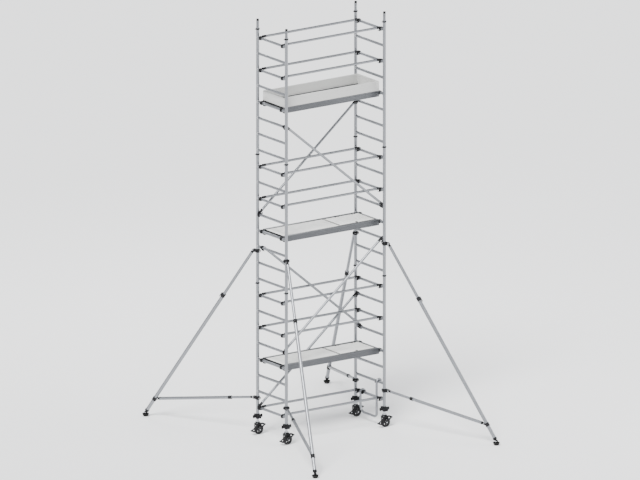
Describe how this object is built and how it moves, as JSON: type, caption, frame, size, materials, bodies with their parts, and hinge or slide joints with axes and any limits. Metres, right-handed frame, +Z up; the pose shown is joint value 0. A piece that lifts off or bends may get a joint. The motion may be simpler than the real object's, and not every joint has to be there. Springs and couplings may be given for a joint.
{
  "type": "mobile tower scaffold",
  "caption": "Tall narrow tower of tubular ladder frames on swivel castors, with hooked-on platforms with trapdoors, guardrails, diagonal braces and stabiliser legs.",
  "frame": {"origin": "on the ground at the middle of the four posts", "axes": "+X along the platforms towards the frame with the access bracket, +Y to the rear where the trapdoors hinge, +Z up"},
  "size_m": [3.432, 4.526, 6.46],
  "materials": {
    "tube": "mill finish, satin",
    "spigot": "satin",
    "rail": "extruded, grey",
    "deck": "pale coated sheet with an anti-slip pattern",
    "toe_board": "pale, satin",
    "fitting": "black, moulded",
    "cap": "black, moulded",
    "casting": "black powder coat",
    "zinc": "zinc plated",
    "wheel": "dark tread on a grey rim",
    "pedal": "black powder coat",
    "rubber": "black, moulded"
  },
  "bodies": {
    "tower": {"ladder_frame_lower_left": "tube", "ladder_frame_lower_right": "tube", "ladder_frame_middle_left": "tube", "ladder_frame_middle_right": "tube", "ladder_frame_upper_left": "tube", "ladder_frame_upper_right": "tube", "frame_spigots": "spigot", "spigot_caps": "cap", "locking_clips": "fitting", "guardrails": "tube", "diagonal_braces": "tube", "snap_hooks": "fitting", "hook_latches": "fitting", "platform_frame_lower": "rail", "platform_frame_middle": "rail", "platform_frame_upper": "rail", "platform_claws": "fitting", "deck_panels": "deck", "toe_boards": "toe_board", "toe_board_clips": "toe_board", "access_bracket": "tube"},
    "trapdoor_lower": {"hatch_lower": "deck"},
    "trapdoor_middle": {"hatch_middle": "deck"},
    "trapdoor_upper": {"hatch_upper": "deck"},
    "nut_front_left": {"adjusting_nut_front_left": "casting"},
    "jack_front_left": {"spindle_front_left": "zinc"},
    "castor_front_left": {"fork_front_left": "casting"},
    "roller_front_left": {"wheel_front_left": "wheel"},
    "brake_front_left": {"brake_pedal_front_left": "pedal"},
    "stabiliser_front_left": {"couplers_front_left": "casting", "stabiliser_arm_front_left": "tube"},
    "leg_front_left": {"outer_leg_front_left": "tube"},
    "pad_front_left": {"foot_front_left": "rubber"},
    "nut_front_right": {"adjusting_nut_front_right": "casting"},
    "jack_front_right": {"spindle_front_right": "zinc"},
    "castor_front_right": {"fork_front_right": "casting"},
    "roller_front_right": {"wheel_front_right": "wheel"},
    "brake_front_right": {"brake_pedal_front_right": "pedal"},
    "stabiliser_front_right": {"couplers_front_right": "casting", "stabiliser_arm_front_right": "tube"},
    "leg_front_right": {"outer_leg_front_right": "tube"},
    "pad_front_right": {"foot_front_right": "rubber"},
    "nut_rear_left": {"adjusting_nut_rear_left": "casting"},
    "jack_rear_left": {"spindle_rear_left": "zinc"},
    "castor_rear_left": {"fork_rear_left": "casting"},
    "roller_rear_left": {"wheel_rear_left": "wheel"},
    "brake_rear_left": {"brake_pedal_rear_left": "pedal"},
    "stabiliser_rear_left": {"couplers_rear_left": "casting", "stabiliser_arm_rear_left": "tube"},
    "leg_rear_left": {"outer_leg_rear_left": "tube"},
    "pad_rear_left": {"foot_rear_left": "rubber"},
    "nut_rear_right": {"adjusting_nut_rear_right": "casting"},
    "jack_rear_right": {"spindle_rear_right": "zinc"},
    "castor_rear_right": {"fork_rear_right": "casting"},
    "roller_rear_right": {"wheel_rear_right": "wheel"},
    "brake_rear_right": {"brake_pedal_rear_right": "pedal"},
    "stabiliser_rear_right": {"couplers_rear_right": "casting", "stabiliser_arm_rear_right": "tube"},
    "leg_rear_right": {"outer_leg_rear_right": "tube"},
    "pad_rear_right": {"foot_rear_right": "rubber"}
  },
  "joints": [
    {"name": "trapdoor_hinge_lower", "type": "hinge", "parent": "tower", "child": "trapdoor_lower", "pos_m": [0.59, 0.223, 1.212], "axis": [-1, 0, 0], "range_deg": [0, 90]},
    {"name": "trapdoor_hinge_middle", "type": "hinge", "parent": "tower", "child": "trapdoor_middle", "pos_m": [0.59, 0.223, 3.212], "axis": [-1, 0, 0], "range_deg": [0, 90]},
    {"name": "trapdoor_hinge_upper", "type": "hinge", "parent": "tower", "child": "trapdoor_upper", "pos_m": [0.59, 0.223, 5.212], "axis": [-1, 0, 0], "range_deg": [0, 90]},
    {"name": "nut_turn_front_left", "type": "hinge", "parent": "tower", "child": "nut_front_left", "pos_m": [-0.9, -0.375, 0.285], "axis": [0, 0, 1], "range_deg": [0, 9000]},
    {"name": "jack_slide_front_left", "type": "slide", "parent": "tower", "child": "jack_front_left", "axis": [0, 0, -1], "range_m": [0, 0.2]},
    {"name": "castor_swivel_front_left", "type": "hinge", "parent": "jack_front_left", "child": "castor_front_left", "pos_m": [-0.9, -0.375, 0.188], "axis": [0, 0, 1], "continuous": true},
    {"name": "wheel_spin_front_left", "type": "hinge", "parent": "castor_front_left", "child": "roller_front_left", "pos_m": [-0.88, -0.375, 0.075], "axis": [0, 1, 0], "continuous": true},
    {"name": "brake_rock_front_left", "type": "hinge", "parent": "castor_front_left", "child": "brake_front_left", "pos_m": [-0.908, -0.375, 0.096], "axis": [0, 1, 0], "range_deg": [0, 12]},
    {"name": "stabiliser_swing_front_left", "type": "hinge", "parent": "tower", "child": "stabiliser_front_left", "pos_m": [-0.9, -0.375, 2.855], "axis": [0, 0, -1], "range_deg": [-20, 45]},
    {"name": "leg_slide_front_left", "type": "slide", "parent": "stabiliser_front_left", "child": "leg_front_left", "axis": [-0.2171, -0.5218, -0.8249], "range_m": [-0.19, 0.5]},
    {"name": "foot_tilt_front_left", "type": "hinge", "parent": "leg_front_left", "child": "pad_front_left", "pos_m": [-1.664, -2.211, 0.062], "axis": [0.9233, -0.3842, 0], "range_deg": [-25, 25]},
    {"name": "nut_turn_front_right", "type": "hinge", "parent": "tower", "child": "nut_front_right", "pos_m": [0.9, -0.375, 0.285], "axis": [0, 0, 1], "range_deg": [0, 9000]},
    {"name": "jack_slide_front_right", "type": "slide", "parent": "tower", "child": "jack_front_right", "axis": [0, 0, -1], "range_m": [0, 0.2]},
    {"name": "castor_swivel_front_right", "type": "hinge", "parent": "jack_front_right", "child": "castor_front_right", "pos_m": [0.9, -0.375, 0.188], "axis": [0, 0, 1], "continuous": true},
    {"name": "wheel_spin_front_right", "type": "hinge", "parent": "castor_front_right", "child": "roller_front_right", "pos_m": [0.92, -0.375, 0.075], "axis": [0, 1, 0], "continuous": true},
    {"name": "brake_rock_front_right", "type": "hinge", "parent": "castor_front_right", "child": "brake_front_right", "pos_m": [0.892, -0.375, 0.096], "axis": [0, 1, 0], "range_deg": [0, 12]},
    {"name": "stabiliser_swing_front_right", "type": "hinge", "parent": "tower", "child": "stabiliser_front_right", "pos_m": [0.9, -0.375, 2.855], "axis": [0, 0, 1], "range_deg": [-20, 45]},
    {"name": "leg_slide_front_right", "type": "slide", "parent": "stabiliser_front_right", "child": "leg_front_right", "axis": [0.2171, -0.5218, -0.8249], "range_m": [-0.19, 0.5]},
    {"name": "foot_tilt_front_right", "type": "hinge", "parent": "leg_front_right", "child": "pad_front_right", "pos_m": [1.664, -2.211, 0.062], "axis": [0.9233, 0.3842, 0], "range_deg": [-25, 25]},
    {"name": "nut_turn_rear_left", "type": "hinge", "parent": "tower", "child": "nut_rear_left", "pos_m": [-0.9, 0.375, 0.285], "axis": [0, 0, 1], "range_deg": [0, 9000]},
    {"name": "jack_slide_rear_left", "type": "slide", "parent": "tower", "child": "jack_rear_left", "axis": [0, 0, -1], "range_m": [0, 0.2]},
    {"name": "castor_swivel_rear_left", "type": "hinge", "parent": "jack_rear_left", "child": "castor_rear_left", "pos_m": [-0.9, 0.375, 0.188], "axis": [0, 0, 1], "continuous": true},
    {"name": "wheel_spin_rear_left", "type": "hinge", "parent": "castor_rear_left", "child": "roller_rear_left", "pos_m": [-0.88, 0.375, 0.075], "axis": [0, 1, 0], "continuous": true},
    {"name": "brake_rock_rear_left", "type": "hinge", "parent": "castor_rear_left", "child": "brake_rear_left", "pos_m": [-0.908, 0.375, 0.096], "axis": [0, 1, 0], "range_deg": [0, 12]},
    {"name": "stabiliser_swing_rear_left", "type": "hinge", "parent": "tower", "child": "stabiliser_rear_left", "pos_m": [-0.9, 0.375, 2.855], "axis": [0, 0, 1], "range_deg": [-20, 45]},
    {"name": "leg_slide_rear_left", "type": "slide", "parent": "stabiliser_rear_left", "child": "leg_rear_left", "axis": [-0.2171, 0.5218, -0.8249], "range_m": [-0.19, 0.5]},
    {"name": "foot_tilt_rear_left", "type": "hinge", "parent": "leg_rear_left", "child": "pad_rear_left", "pos_m": [-1.664, 2.211, 0.062], "axis": [-0.9233, -0.3842, 0], "range_deg": [-25, 25]},
    {"name": "nut_turn_rear_right", "type": "hinge", "parent": "tower", "child": "nut_rear_right", "pos_m": [0.9, 0.375, 0.285], "axis": [0, 0, 1], "range_deg": [0, 9000]},
    {"name": "jack_slide_rear_right", "type": "slide", "parent": "tower", "child": "jack_rear_right", "axis": [0, 0, -1], "range_m": [0, 0.2]},
    {"name": "castor_swivel_rear_right", "type": "hinge", "parent": "jack_rear_right", "child": "castor_rear_right", "pos_m": [0.9, 0.375, 0.188], "axis": [0, 0, 1], "continuous": true},
    {"name": "wheel_spin_rear_right", "type": "hinge", "parent": "castor_rear_right", "child": "roller_rear_right", "pos_m": [0.92, 0.375, 0.075], "axis": [0, 1, 0], "continuous": true},
    {"name": "brake_rock_rear_right", "type": "hinge", "parent": "castor_rear_right", "child": "brake_rear_right", "pos_m": [0.892, 0.375, 0.096], "axis": [0, 1, 0], "range_deg": [0, 12]},
    {"name": "stabiliser_swing_rear_right", "type": "hinge", "parent": "tower", "child": "stabiliser_rear_right", "pos_m": [0.9, 0.375, 2.855], "axis": [0, 0, -1], "range_deg": [-20, 45]},
    {"name": "leg_slide_rear_right", "type": "slide", "parent": "stabiliser_rear_right", "child": "leg_rear_right", "axis": [0.2171, 0.5218, -0.8249], "range_m": [-0.19, 0.5]},
    {"name": "foot_tilt_rear_right", "type": "hinge", "parent": "leg_rear_right", "child": "pad_rear_right", "pos_m": [1.664, 2.211, 0.062], "axis": [-0.9233, 0.3842, 0], "range_deg": [-25, 25]}
  ],
  "couplings": [
    {"joint": "jack_slide_front_left", "follows": "nut_turn_front_left", "m_per_rad": 0.0012732},
    {"joint": "jack_slide_front_right", "follows": "nut_turn_front_right", "m_per_rad": 0.0012732},
    {"joint": "jack_slide_rear_left", "follows": "nut_turn_rear_left", "m_per_rad": 0.0012732},
    {"joint": "jack_slide_rear_right", "follows": "nut_turn_rear_right", "m_per_rad": 0.0012732}
  ]
}
